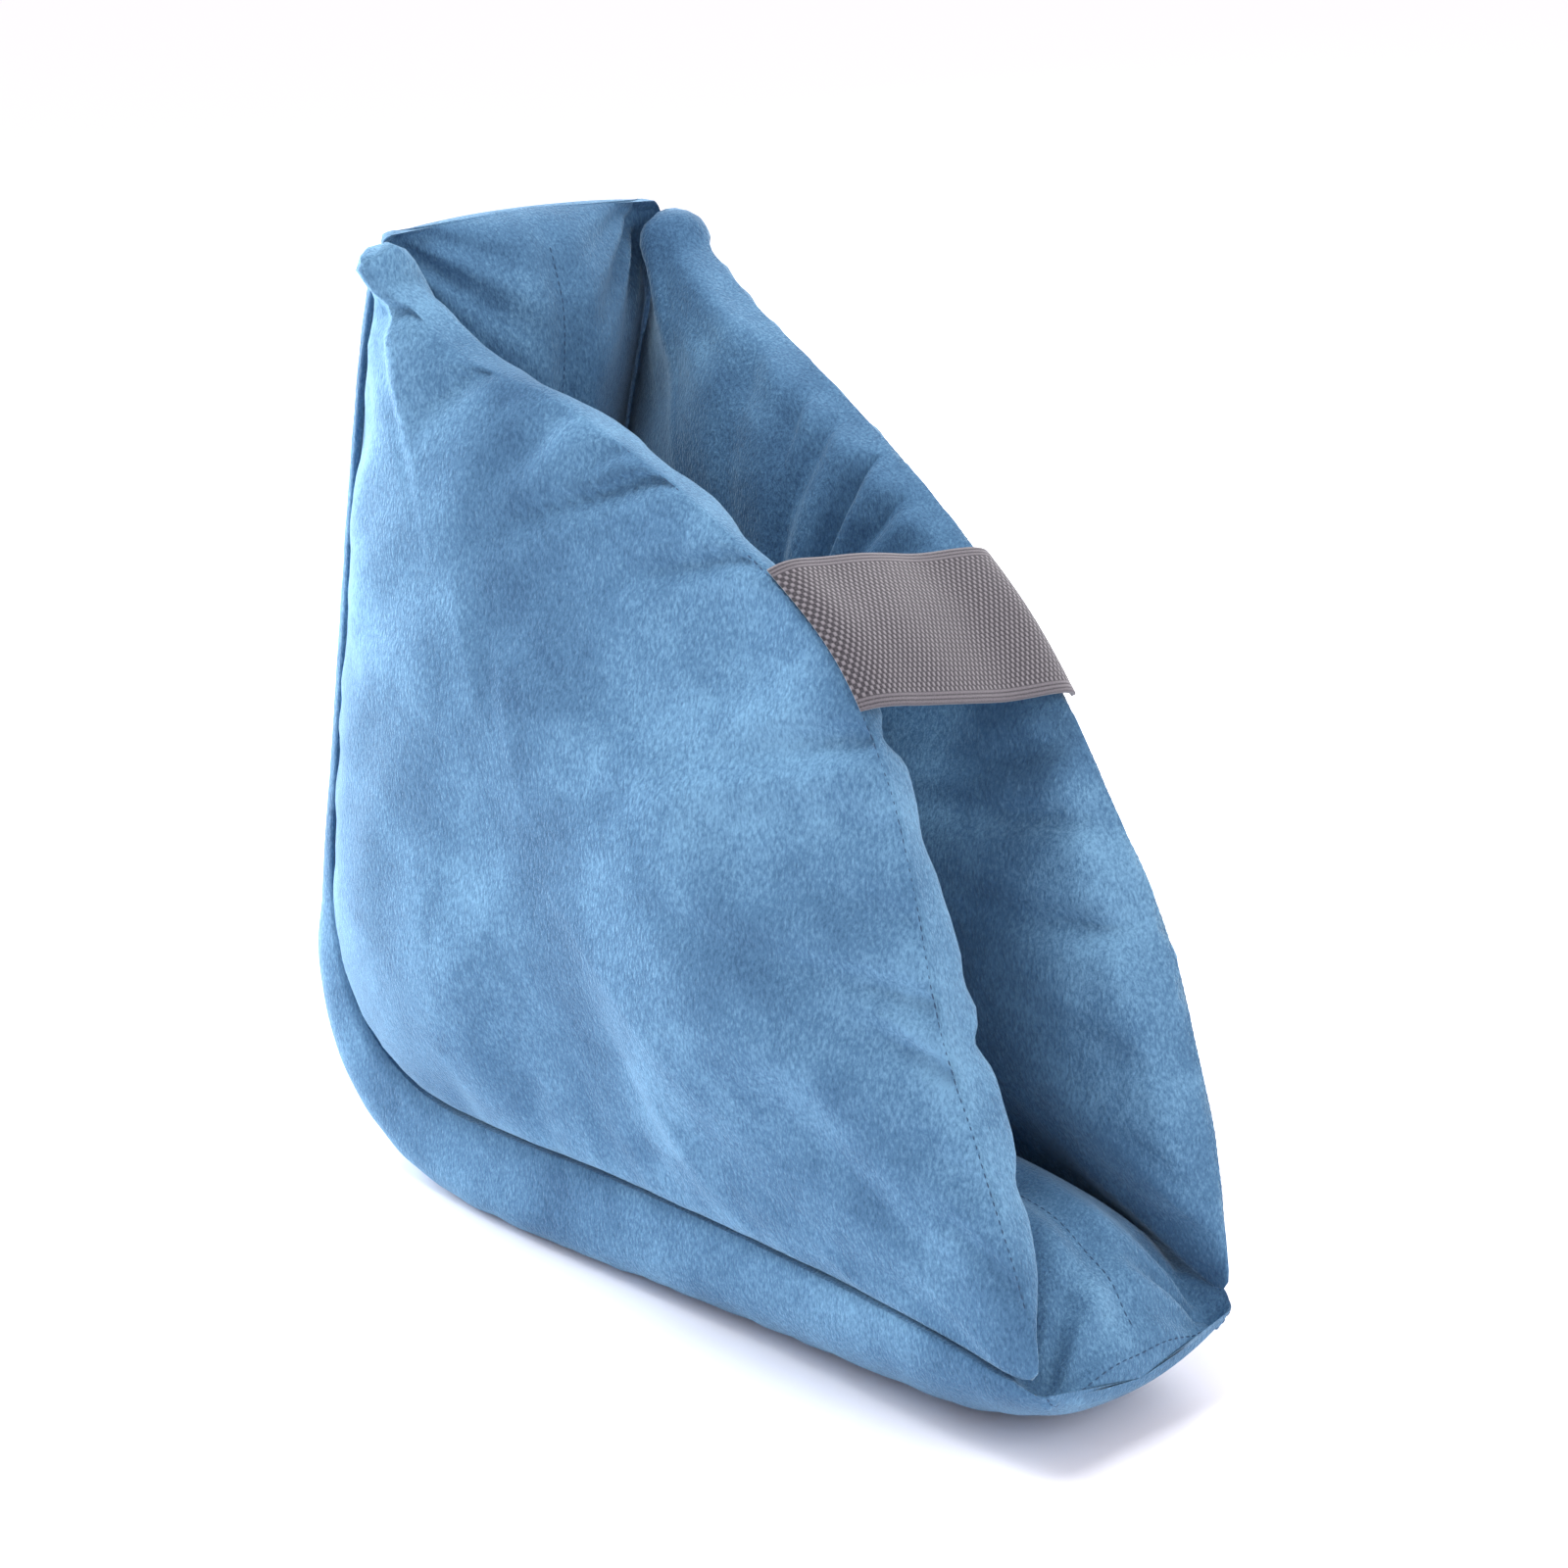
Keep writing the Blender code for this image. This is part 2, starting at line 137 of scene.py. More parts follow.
def linear(colour: str) -> tuple[float, float, float, float]:
    """Turns an sRGB hex colour into the linear one that shaders take.

    Args:
        colour: Six hex digits after a hash sign.

    Returns:
        Red, green, blue and alpha, linear.
    """
    parts = [int(colour[k : k + 2], 16) / 255 for k in (1, 3, 5)]
    red, green, blue = (
        part / 12.92 if part <= 0.04045 else ((part + 0.055) / 1.055) ** 2.4 for part in parts
    )
    return red, green, blue, 1.0


def add_node(
    tree: bpy.types.NodeTree,
    kind: str,
    inputs: dict[str | int, object] | None = None,
    **settings: object,
) -> bpy.types.Node:
    """Adds a node to a tree with its settings, values and links.

    Args:
        tree: The material's, world's or modifier's node tree.
        kind: The node's type name.
        inputs: A value or another node's output for each input, by name or place.
        **settings: The node's own properties.

    Returns:
        The new node.
    """
    made = tree.nodes.new(kind)
    for name, value in settings.items():
        setattr(made, name, value)
    for place, value in (inputs or {}).items():
        if isinstance(value, bpy.types.NodeSocket):
            tree.links.new(value, made.inputs[place])
        else:
            made.inputs[place].default_value = value
    return made


def blank_material(name: str) -> tuple[bpy.types.Material, Callable[..., bpy.types.Node]]:
    """Makes a material with an empty node tree.

    Args:
        name: The material's name.

    Returns:
        The material, and add_node for its tree.
    """
    made = bpy.data.materials.new(name)
    made.use_nodes = True
    made.node_tree.nodes.clear()
    return made, partial(add_node, made.node_tree)


def add_object(name: str, data: bpy.types.ID) -> bpy.types.Object:
    """Adds an object to the scene.

    Args:
        name: The object's name.
        data: Its mesh, lamp or camera.

    Returns:
        The new object.
    """
    made = bpy.data.objects.new(name, data)
    bpy.context.scene.collection.objects.link(made)
    return made


def set_ramp(ramp: bpy.types.Node, stops: Sequence[tuple[float, str]]) -> None:
    """Gives a colour ramp its stops.

    Args:
        ramp: A Color Ramp node.
        stops: Each stop's place from 0 to 1 and its sRGB hex colour.
    """
    elements = ramp.color_ramp.elements
    while len(elements) < len(stops):
        elements.new(0.5)
    for element, (place, colour) in zip(elements, stops):
        element.position = place
        element.color = linear(colour)


def smooth_through(rows: Sequence[Row], places: Row, at: float) -> list[float]:
    """Follows a smooth curve through a table's rows.

    Args:
        rows: The values that the curve passes through.
        places: Where each row lies, rising.
        at: Where to read the curve.

    Returns:
        One value for each column.
    """
    last = len(rows) - 1
    k = 0
    while k < last - 1 and at > places[k + 1]:
        k += 1
    span = places[k + 1] - places[k]
    t = min(1.0, max(0.0, (at - places[k]) / span))
    before, after = max(0, k - 1), min(last, k + 2)
    values = []
    for column in range(len(rows[0])):
        start, end = rows[k][column], rows[k + 1][column]
        slope_in = (end - rows[before][column]) / (places[k + 1] - places[before])
        slope_out = (rows[after][column] - start) / (places[after] - places[k])
        values.append(
            start * (2 * t**3 - 3 * t**2 + 1)
            + end * (3 * t**2 - 2 * t**3)
            + slope_in * span * (t**3 - 2 * t**2 + t)
            + slope_out * span * (t**3 - t**2)
        )
    return values


def running_lengths(points: Sequence[Row]) -> list[float]:
    """Measures along a line of points, up to each of them.

    Args:
        points: The line's points.

    Returns:
        The distance from the first point, for each point.
    """
    lengths = [0.0]
    for before, after in zip(points, points[1:]):
        lengths.append(lengths[-1] + math.dist(before, after))
    return lengths


def evenly(points: list[list[float]], count: int) -> list[list[float]]:
    """Spaces points evenly round a closed loop, as measured in its first two columns.

    Args:
        points: The loop's points, the first not repeated at the end.
        count: How many points to return.

    Returns:
        The new points, with a last column that holds the distance run so far.
    """
    loop = points + points[:1]
    lengths = running_lengths([point[:2] for point in loop])
    picked = []
    k = 0
    for i in range(count):
        target = lengths[-1] * i / count
        while lengths[k + 1] < target:
            k += 1
        t = (target - lengths[k]) / (lengths[k + 1] - lengths[k])
        picked.append([a + (b - a) * t for a, b in zip(loop[k], loop[k + 1])] + [target])
    return picked


def softened(points: list[list[float]], reach: float) -> list[list[float]]:
    """Averages an evenly spaced closed loop over a reach on either side.

    Args:
        points: The loop's points.
        reach: How far to either side the average goes, in mm.

    Returns:
        The softened points.
    """
    spacing = math.dist(points[0][:2], points[1][:2])
    span = max(1, round(reach / spacing))
    count, total = len(points), [0.0] * len(points[0])
    for step in range(-span, span + 1):
        total = [a + b for a, b in zip(total, points[step % count])]
    soft = []
    for k in range(count):
        soft.append([value / (2 * span + 1) for value in total])
        leaving, coming = points[(k - span) % count], points[(k + span + 1) % count]
        total = [a - b + c for a, b, c in zip(total, leaving, coming)]
    return soft


def fold(offset: float, spread: float) -> float:
    """Gives a crease's section: a valley with a low ridge on either side.

    Args:
        offset: The distance from the crease's middle.
        spread: The valley's half-width.

    Returns:
        1 in the valley's middle, a little below 0 on the ridges, 0 far off.
    """
    t = offset / spread
    return (1 - 0.55 * t * t) * math.exp(-t * t / 1.6) if abs(t) < 5 else 0.0


SOLE_PLACES = running_lengths([row[:2] for row in SOLE_STATIONS])
SOLE_LENGTH = SOLE_PLACES[-1]
FRONT_PLACES = [row[0] for row in FRONT_EDGES]
FRONT_TURN = FRONT_PLACES[-1]


class Side(Enum):
    """Which side of the foot a piece is on; the value is the sign of its x."""

    LEFT = -1
    RIGHT = 1


class SeamLines:
    """Where the cut pieces are sewn together, all in millimetres."""

    corner_y: float = 130.0
    corner_z: float = 37.0

    @staticmethod
    def sole(at: float) -> tuple[list[float], tuple[float, float]]:
        """Reads the sole's seam line at a distance from the toe.

        Args:
            at: The distance along the line from the toe.

        Returns:
            The station's row, and the way that the foot side faces, in y and z.
        """
        row = smooth_through(SOLE_STATIONS, SOLE_PLACES, at)
        after, before = min(SOLE_LENGTH, at + TANGENT_STEP), max(0.0, at - TANGENT_STEP)
        ahead = smooth_through(SOLE_STATIONS, SOLE_PLACES, after)
        behind = smooth_through(SOLE_STATIONS, SOLE_PLACES, before)
        along_y, along_z = ahead[0] - behind[0], ahead[1] - behind[1]
        length = math.hypot(along_y, along_z)
        return row, (-along_z / length, along_y / length)

    @classmethod
    def front(cls, degrees: float, side: float) -> list[float]:
        """Reads a front edge's seam.

        Args:
            degrees: The place on the edge, about the heel corner.
            side: -1 for the left edge, 1 for the right one, or between them.

        Returns:
            y, z, half-width, band, swell, roll and radius.
        """
        row = smooth_through(FRONT_EDGES, FRONT_PLACES, degrees)
        _, left, right, half_width, band, swell, roll = row
        radius = left + (right - left) * (side + 1) / 2
        turn = math.radians(degrees)
        y = cls.corner_y - radius * math.cos(turn)
        z = cls.corner_z + radius * math.sin(turn)
        return [y, z, half_width, band, swell, roll, radius]


def remade_sphere(
    name: str, around: int, along: int, place: Callable[[float, float], Point]
) -> bpy.types.Object:
    """Makes a closed skin from a UV sphere whose points are moved.

    Args:
        name: The piece's name.
        around: Points in a ring.
        along: Rings from pole to pole.
        place: Gives x, y, z in mm for a turn from 0 to 1 and a rise from -1 to 1.

    Returns:
        The new piece, shaded smooth, with its faces outwards.
    """
    mesh = bpy.data.meshes.new(name)
    shape = bmesh.new()
    bmesh.ops.create_uvsphere(shape, u_segments=around, v_segments=along, radius=1.0)
    for vertex in shape.verts:
        turn = math.atan2(vertex.co.y, vertex.co.x) / math.tau
        turn = round(turn * around) % around / around
        rise = math.asin(max(-1.0, min(1.0, vertex.co.z))) / (math.pi / 2)
        rise = round(rise * along / 2) / (along / 2)
        vertex.co = Vector(place(turn, rise)) * MM
    if shape.calc_volume(signed=True) < 0:
        bmesh.ops.reverse_faces(shape, faces=shape.faces)
    shape.to_mesh(mesh)
    shape.free()
    mesh.shade_smooth()
    return add_object(name, mesh)


def evened(mesh: bpy.types.Mesh, moves: Sequence[Vector], passes: int) -> list[Vector]:
    """Evens out how far neighbouring points of a skin have moved.

    Args:
        mesh: The skin.
        moves: How each point moved.
        passes: How many times each move goes halfway to its neighbours' mean.

    Returns:
        The evened moves.
    """
    beside = [[] for _ in moves]
    for edge in mesh.edges:
        start, end = edge.vertices
        beside[start].append(end)
        beside[end].append(start)
    even = list(moves)
    for _ in range(passes):
        means = [sum((even[k] for k in near), Vector()) / len(near) for near in beside]
        even = [move.lerp(mean, 0.5) for move, mean in zip(even, means)]
    return even


def relaxed(piece: bpy.types.Object, group: str, passes: int) -> None:
    """Smooths part of a skin.

    Args:
        piece: The piece.
        group: The vertex group that marks the part.
        passes: How many times each point moves halfway to its neighbours' middle.
    """
    ease = piece.modifiers.new("ease", "SMOOTH")
    ease.factor = 0.5
    ease.iterations = passes
    ease.vertex_group = group
    seen = piece.evaluated_get(bpy.context.evaluated_depsgraph_get())
    shaped = bpy.data.meshes.new_from_object(seen)
    for vertex, eased in zip(piece.data.vertices, shaped.vertices):
        vertex.co = eased.co
    bpy.data.meshes.remove(shaped)
    piece.modifiers.remove(ease)


@dataclass(frozen=True)
class Stuffing:
    """The filling's push on a sewn skin, worked out as pressed cloth."""

    pressure: float = 4.0
    frames: int = 20
    most_move: float = 5.0 * MM
    tension: float = 18.0
    bending: float = 0.6
    looseness: float = 0.02
    hold_reach: float = 3.0 * MM
    calm_reach: float = 58.0 * MM
    passes: int = 9

    def calmed(
        self, before: Sequence[Vector], moves: Sequence[Vector], middle: Vector
    ) -> list[Vector]:
        """Evens out the moves round the middle of a face.

        Args:
            before: Where the points lay.
            moves: How the filling moved them.
            middle: The middle of the face.

        Returns:
            The moves, all alike in the middle and unchanged past its reach.
        """
        shares = [(spot - middle).length / self.calm_reach for spot in before]
        rim = [move for move, share in zip(moves, shares) if 0.85 < share < 1]
        even = sum(rim, Vector()) / len(rim)
        calm = []
        for move, share in zip(moves, shares):
            own = min(1.0, max(0.0, share * 1.8 - 0.8))
            calm.append(even.lerp(move, own * own * (3 - 2 * own)))
        return calm

    def fill(
        self, piece: bpy.types.Object, seam: Sequence[Vector], middles: Sequence[Vector]
    ) -> None:
        """Presses the skin outwards and keeps the shape it takes.

        Args:
            piece: The piece to fill.
            seam: Points of its seams, which stay where they are.
            middles: The middle of each of its faces.
        """
        scene = bpy.context.scene
        before = [vertex.co.copy() for vertex in piece.data.vertices]
        tree = KDTree(len(seam))
        for k, spot in enumerate(seam):
            tree.insert(spot, k)
        tree.balance()
        pins = piece.vertex_groups.new(name="held")
        for vertex in piece.data.vertices:
            away = tree.find(vertex.co)[2]
            pins.add([vertex.index], max(0.0, 1 - away / self.hold_reach), "REPLACE")
        cloth = piece.modifiers.new("stuffing", "CLOTH")
        settings = cloth.settings
        settings.quality = 6
        settings.mass = 0.2
        settings.tension_stiffness = self.tension
        settings.compression_stiffness = self.tension
        settings.shear_stiffness = self.tension / 3
        settings.bending_stiffness = self.bending
        settings.use_pressure = True
        settings.uniform_pressure_force = self.pressure
        settings.shrink_min = -self.looseness
        settings.vertex_group_mass = pins.name
        settings.effector_weights.gravity = 0
        cloth.collision_settings.use_collision = False
        cloth.point_cache.frame_start = 1
        cloth.point_cache.frame_end = self.frames
        for number in range(1, self.frames + 1):
            scene.frame_set(number)
        shaped = bpy.data.meshes.new_from_object(
            piece.evaluated_get(bpy.context.evaluated_depsgraph_get())
        )
        moves = []
        for start, end in zip(before, shaped.vertices):
            move = end.co - start
            moves.append(move * min(1.0, self.most_move / max(move.length, 1e-9)))
        for middle in middles:
            moves = self.calmed(before, moves, middle)
        moves = evened(piece.data, moves, self.passes)
        for vertex, start, move in zip(piece.data.vertices, before, moves):
            away = tree.find(start)[2]
            vertex.co = start + move * min(1.0, away / self.hold_reach)
        bpy.data.meshes.remove(shaped)
        piece.modifiers.remove(cloth)
        piece.vertex_groups.remove(pins)
        scene.frame_set(1)


@dataclass(frozen=True)
class ShortPilePlush:
    """Polyester velboa, a knitted cloth with a cut pile about 1.5 mm high.

    The pile gives the eye soft lighter and darker clouds where it was stroked
    one way or the other, a fine grain of tufts, and a bright edge where it is
    seen side on.
    """

    stroked_dark: str = "#3e6081"
    plain: str = "#557d9f"
    stroked_light: str = "#76a3c4"
    cloud_size: float = 75.0
    stroke_size: float = 20.0
    tuft_size: float = 0.9
    pile_relief: float = 0.8

    def material(self, name: str, shift: Point) -> bpy.types.Material:
        """Builds the plush.

        Args:
            name: The material's name.
            shift: Moves the clouds, in metres, so that pieces differ.

        Returns:
            The material.
        """
        made, add = blank_material(name)
        where = add("ShaderNodeTexCoord")
        moved = add("ShaderNodeMapping", {"Vector": where.outputs["Object"], "Location": shift})
        slanted = add("ShaderNodeMapping", {
            "Vector": where.outputs["Object"], "Rotation": (0.8, 0.3, 0.0),
            "Scale": (1.0, 1.0, 0.45),
        })
        patterns = []
        for start, size, roughness, distortion in (
            (moved, self.cloud_size, 0.5, 0.4),
            (moved, self.stroke_size, 0.6, 0.4),
            (slanted, self.tuft_size, 0.7, 0.0),
        ):
            pattern = add("ShaderNodeTexNoise", {
                "Vector": start.outputs[0], "Scale": 1 / (size * MM), "Detail": 2.0,
                "Roughness": roughness, "Distortion": distortion,
            })
            patterns.append(pattern.outputs["Fac"])
        clouds, strokes, tufts = patterns
        lie = add("ShaderNodeMath", {0: strokes, 1: 0.55, 2: clouds}, operation="MULTIPLY_ADD")
        grain = add("ShaderNodeMath", {0: tufts, 1: lie.outputs[0]}, operation="ADD")
        spread = add(
            "ShaderNodeMapRange", {"Value": grain.outputs[0], "From Min": 0.78, "From Max": 1.77}
        )
        ramp = add("ShaderNodeValToRGB", {"Fac": spread.outputs[0]})
        set_ramp(ramp, ((0.15, self.stroked_dark), (0.5, self.plain), (0.85, self.stroked_light)))
        relief = add("ShaderNodeMath", {0: strokes, 1: 0.5, 2: tufts}, operation="MULTIPLY_ADD")
        bump = add("ShaderNodeBump", {
            "Height": relief.outputs[0], "Strength": 0.75, "Distance": self.pile_relief * MM,
        })
        shader = add("ShaderNodeBsdfPrincipled", {
            "Base Color": ramp.outputs["Color"], "Roughness": 0.92, "Metallic": 0.0, "IOR": 1.45,
            "Specular IOR Level": 0.15, "Sheen Weight": 0.65, "Sheen Roughness": 0.34,
            "Sheen Tint": linear("#bcdcf2"), "Normal": bump.outputs[0],
        })
        add("ShaderNodeOutputMaterial", {"Surface": shader.outputs[0]})
        return made


@dataclass(frozen=True)
class KnittedElastic:
    """Warp-knitted polyester elastic, heather grey.

    The knit gives the eye rows of small light bumps with dark gaps between
    them, each row half a step on from the last. The gaps' dark colour is
    painted shade in the hollows between the bumps.
    """

    # The colour of the gaps is painted shade in the hollows between the yarn bumps.
    shaded_gap: str = "#333036"
    yarn: str = "#888389"
    row_step: float = 1.45
    bump_step: float = 1.05
    cord_step: float = 1.2
    selvedge: float = 3.4
    half_width: float = 25.0
    relief: float = 0.5

    def material(self, name: str) -> bpy.types.Material:
        """Builds the knit, which reads the piece's own UV map, in metres.

        Args:
            name: The material's name.

        Returns:
            The material.
        """
        made, add = blank_material(name)
        where = add("ShaderNodeUVMap", uv_map="weave")
        split = add("ShaderNodeSeparateXYZ", {0: where.outputs[0]})
        waves = []
        for place, step in ((1, self.row_step), (0, self.bump_step), (1, self.cord_step)):
            turns = {0: split.outputs[place], 1: math.pi / (step * MM)}
            angle = add("ShaderNodeMath", turns, operation="MULTIPLY")
            wave = add("ShaderNodeMath", {0: angle.outputs[0]}, operation="SINE")
            waves.append(wave.outputs[0])
        row_wave, bump_wave, cord_wave = waves
        checks = add("ShaderNodeMath", {0: row_wave, 1: bump_wave}, operation="MULTIPLY")
        fuzz = add("ShaderNodeTexNoise", {
            "Vector": where.outputs[0], "Scale": 1 / (0.5 * MM), "Detail": 2.0,
        })
        knit = add(
            "ShaderNodeMapRange", {"Value": checks.outputs[0], "From Min": -0.15, "From Max": 0.9}
        )
        cords = add("ShaderNodeMath", {0: cord_wave}, operation="ABSOLUTE")
        low_cords = add("ShaderNodeMath", {0: cords.outputs[0], 1: 0.45}, operation="MULTIPLY")
        from_middle = add("ShaderNodeMath", {0: split.outputs[1]}, operation="ABSOLUTE")
        at_edge = add("ShaderNodeMath", {
            0: from_middle.outputs[0], 1: (self.half_width - self.selvedge) * MM,
        }, operation="GREATER_THAN")
        height = add("ShaderNodeMix", {
            0: at_edge.outputs[0], 2: knit.outputs[0], 3: low_cords.outputs[0],
        }, data_type="FLOAT")
        tone = add("ShaderNodeMath", {
            0: fuzz.outputs["Fac"], 1: 0.5, 2: height.outputs[0],
        }, operation="MULTIPLY_ADD")
        # The colour follows the same height as the bump: the low gaps between the yarn bumps and
        # between the selvedge cords take the dark colour, which is painted shade.
        ramp = add("ShaderNodeValToRGB", {"Fac": tone.outputs[0]})
        set_ramp(ramp, ((0.2, self.shaded_gap), (1.0, self.yarn)))
        bump = add("ShaderNodeBump", {
            "Height": tone.outputs[0], "Strength": 0.8, "Distance": self.relief * MM,
        })
        shader = add("ShaderNodeBsdfPrincipled", {
            "Base Color": ramp.outputs["Color"], "Roughness": 0.78, "IOR": 1.5,
            "Specular IOR Level": 0.3, "Sheen Weight": 0.25, "Sheen Roughness": 0.5,
            "Normal": bump.outputs[0],
        })
        add("ShaderNodeOutputMaterial", {"Surface": shader.outputs[0]})
        return made


@dataclass(frozen=True)
class SpunThread:
    """Spun polyester sewing thread, a shade darker than the plush.

    It gives the eye a fine broken dark line in the valley of a seam.
    """

    colour: str = "#2f5478"
    shade: str = "#24425f"

    def material(self, name: str) -> bpy.types.Material:
        """Builds the thread.

        Args:
            name: The material's name.

        Returns:
            The material.
        """
        made, add = blank_material(name)
        where = add("ShaderNodeTexCoord")
        twist = add("ShaderNodeTexNoise", {
            "Vector": where.outputs["Object"], "Scale": 1 / (0.6 * MM), "Detail": 1.0,
        })
        ramp = add("ShaderNodeValToRGB", {"Fac": twist.outputs["Fac"]})
        set_ramp(ramp, ((0.3, self.shade), (0.7, self.colour)))
        shader = add("ShaderNodeBsdfPrincipled", {
            "Base Color": ramp.outputs["Color"], "Roughness": 0.7, "IOR": 1.5,
        })
        add("ShaderNodeOutputMaterial", {"Surface": shader.outputs[0]})
        return made


@dataclass(frozen=True)
class StudioPaper:
    """Matt white background paper, which gives a soft pale shadow and no edge."""

    colour: str = "#fbfaff"

    def material(self, name: str) -> bpy.types.Material:
        """Builds the paper.

        Args:
            name: The material's name.

        Returns:
            The material.
        """
        made, add = blank_material(name)
        shader = add("ShaderNodeBsdfPrincipled", {
            "Base Color": linear(self.colour), "Roughness": 0.95, "Specular IOR Level": 0.1,
        })
        add("ShaderNodeOutputMaterial", {"Surface": shader.outputs[0]})
        return made


class PlushCushion:
    """What the plush cushions have in common."""

    name: str
    fill: float

    def declare(self, piece: bpy.types.Object) -> None:
        """Tells the frame that a plush cushion stands for its node.

        Args:
            piece: The cushion.
        """
        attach(piece, "root")
        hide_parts(self.name)


@dataclass
class SideCushion(PlushCushion):
    """One quadrant-shaped stuffed side."""

    name: str
    side: Side
    plush: bpy.types.Material
    inner_creases: tuple[Row, ...]
    knob: Point
    centre: Point = (53.0, 22.0, 142.0)
    outer_crown: float = 20.0
    inner_crown: float = 24.0
    outer_ridge: float = 1.6
    ridge_spread: float = 0.09
    seam_gap: float = 0.6
    seam_inset: float = 3.0
    corner_fade: float = 2.5
    knob_length: float = 20.0
    knob_radius: float = 16.0
    knob_hold: float = 24.0
    middle_reach: float = 75.0
    middle_passes: int = 12
    thread_depth: float = 0.3
    last_stitch: float = 78.0
    knob_clearance: float = 1.6
    hinge_swell: float = 4.5
    scallop: float = 0.4
    corner_softness: float = 11.0
    face_softness: float = 60.0
    gather: float = 0.8
    around: int = 288
    rings: int = 30
    fill: float = 0.75
    stuffing: Stuffing = Stuffing()

    def outline(self) -> list[list[float]]:
        """Walks round the sewn edge: up the front, then down the back and the sole.

        Returns:
            Even points, each y, z, half-width, how much it belongs to the front,
            band, swell, roll, degrees up the front and the distance run so far.
        """
        rough = []
        for k in range(OUTLINE_STEPS):
            degrees = FRONT_TURN * k / OUTLINE_STEPS
            row = SeamLines.front(degrees, self.side.value)
            y, z, half_width, band, swell, roll, radius = row
            pulled = self.scallop * self.creases(self.inner_creases, degrees, 0.0) / radius
            y += (SeamLines.corner_y - y) * pulled
            z += (SeamLines.corner_z - z) * pulled
            front = min(1.0, degrees / self.corner_fade)
            rough.append([y, z, half_width, front, band * front, swell, roll * front, degrees])
        for k in range(OUTLINE_STEPS):
            (y, z, half_width, *_), facing = SeamLines.sole(SOLE_LENGTH * (1 - k / OUTLINE_STEPS))
            front = max(0.0, 1 - SOLE_LENGTH * k / OUTLINE_STEPS / self.knob_length)
            band, swell, roll = (size * front for size in FRONT_EDGES[-1][-3:])
            swell += self.hinge_swell * (1 - front)
            y += self.seam_gap * facing[0]
            z += self.seam_gap * facing[1]
            degrees = FRONT_TURN * (1 - k / OUTLINE_STEPS)
            rough.append([y, z, half_width - self.seam_inset, front, band, swell, roll, degrees])
        fine = evenly(rough, 2 * OUTLINE_STEPS)
        return evenly([row[:-1] for row in softened(fine, self.corner_softness)], self.around)

    def creases(self, rows: Sequence[Row], degrees: float, inwards: float) -> float:
        """Adds up the creases at a point.

        Args:
            rows: The table of creases.
            degrees: The point's place up the front edge.
            inwards: Its distance from the seam, in mm.

        Returns:
            How deep the surface lies, in mm.
        """
        depth = 0.0
        for place, deepest, spread, length, lean in rows:
            offset = math.radians(degrees - place) * CREASE_RADIUS - lean * inwards
            wide = spread * (1 + inwards / length)
            depth += deepest * fold(offset, wide) * math.exp(-((inwards / length) ** 1.5))
        return depth

    def lumped(self, spot: Point) -> Point:
        """Swells the skin round the knob in the top corner.

        Args:
            spot: x, y and z in mm, as on the right side.

        Returns:
            The point, moved out to the knob's surface where it lay inside.
        """
        knob = Vector(self.knob)
        away = Vector(spot) - knob
        share = away.length / self.knob_radius
        outwards = Vector((0.0, knob.y - self.centre[1], knob.z - self.centre[2]))
        ahead = away.dot(outwards) / max(away.length * outwards.length, 1e-6)
        ahead = min(1.0, max(0.0, (ahead + 0.75) / 1.5))
        ahead *= ahead * (3 - 2 * ahead)
        if share < 1:
            swollen = (0.7 + 0.3 * share**2) / max(share, 0.05)
        elif share < 2:
            swollen = (1 + 0.25 * (share - 1)) / share
        else:
            return spot
        away *= 1 + (swollen - 1) * ahead
        x, y, z = knob + away
        top_y, top_z = SOLE_STATIONS[-1][:2]
        facing = SeamLines.sole(SOLE_LENGTH - self.knob_radius)[1]
        behind = self.knob_clearance - (y - top_y) * facing[0] - (z - top_z) * facing[1]
        behind = max(0.0, behind)
        return x, y + behind * facing[0], z + behind * facing[1]

    def build(self) -> bpy.types.Object:
        """Builds, fills and dresses the cushion.

        Returns:
            The finished piece.
        """
        edge = self.outline()
        soft = softened(edge, self.face_softness)
        sign = self.side.value

        def place(turn: float, rise: float) -> Point:
            """Places one point of the skin, in mm."""
            k = round(turn * self.around) % self.around
            reach = 1 - abs(rise) ** 1.8
            keep = reach**4
            point = [a * keep + b * (1 - keep) for a, b in zip(edge[k], soft[k])]
            edge_y, edge_z, half_width, front, band, swell, roll = point[:7]
            degrees, run = edge[k][7], edge[k][8]
            out_y, out_z = edge_y - self.centre[1], edge_z - self.centre[2]
            length = math.hypot(out_y, out_z)
            inwards = (1 - reach) * length
            x = self.centre[0] + (half_width - self.centre[0]) * reach**1.5
            starts = min(1.0, inwards / CREASE_START)
            dent = noise.noise((run / 9, inwards / 40, sign * 3.0 + 7.0 * (rise > 0)))
            dent = self.gather * dent * math.exp(-inwards / 22) * starts
            broad = noise.noise((edge_y * reach / 38, edge_z * reach / 38, 5.0 + sign))
            dent += 1.3 * broad * min(1.0, inwards / 40)
            bulge = math.sqrt(1 - reach**18)
            if rise > 0:
                dent += self.creases(OUTER_CREASES, degrees, inwards) * starts * front
                x += self.outer_crown * (1 - reach**3.4) + swell * reach**2 * bulge - dent
            else:
                dent += self.creases(self.inner_creases, degrees, inwards) * starts * front
                x -= self.inner_crown * (1 - reach**3) + band * reach**2 * bulge - dent
            ridge = self.outer_ridge if rise > 0 else roll
            ridge *= math.sin(math.pi * min(1.0, (1 - reach) / self.ridge_spread))
            y = self.centre[1] + out_y * reach + ridge * out_y / length
            z = self.centre[2] + out_z * reach + ridge * out_z / length
            x, y, z = self.lumped((x, y, z))
            return sign * x, y, z

